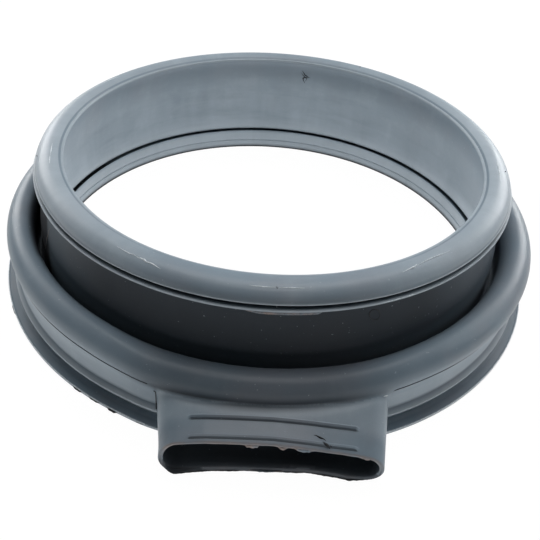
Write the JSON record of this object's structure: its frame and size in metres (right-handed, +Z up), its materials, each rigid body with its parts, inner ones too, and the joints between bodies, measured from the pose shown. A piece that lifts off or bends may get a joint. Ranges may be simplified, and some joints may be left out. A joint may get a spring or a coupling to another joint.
{
  "type": "washing machine door seal",
  "caption": "Moulded rubber door bellows for a front-loading washer-dryer: rounded lip with panel groove, neck, folded roll, tub foot and a flat air duct spout.",
  "frame": {"origin": "middle of the whole outline, seen from above, on the bench that the tub side lies on", "axes": "+Z up along the ring's axis from the tub side to the door lip, -Y the way the air duct points, +X to the right seen from the duct"},
  "size_m": [0.3912, 0.4096, 0.0965],
  "materials": {
    "rubber": "moulded blue-grey rubber with a soft sheen"
  },
  "bodies": {
    "root": {"door_seal": "rubber"}
  },
  "joints": []
}
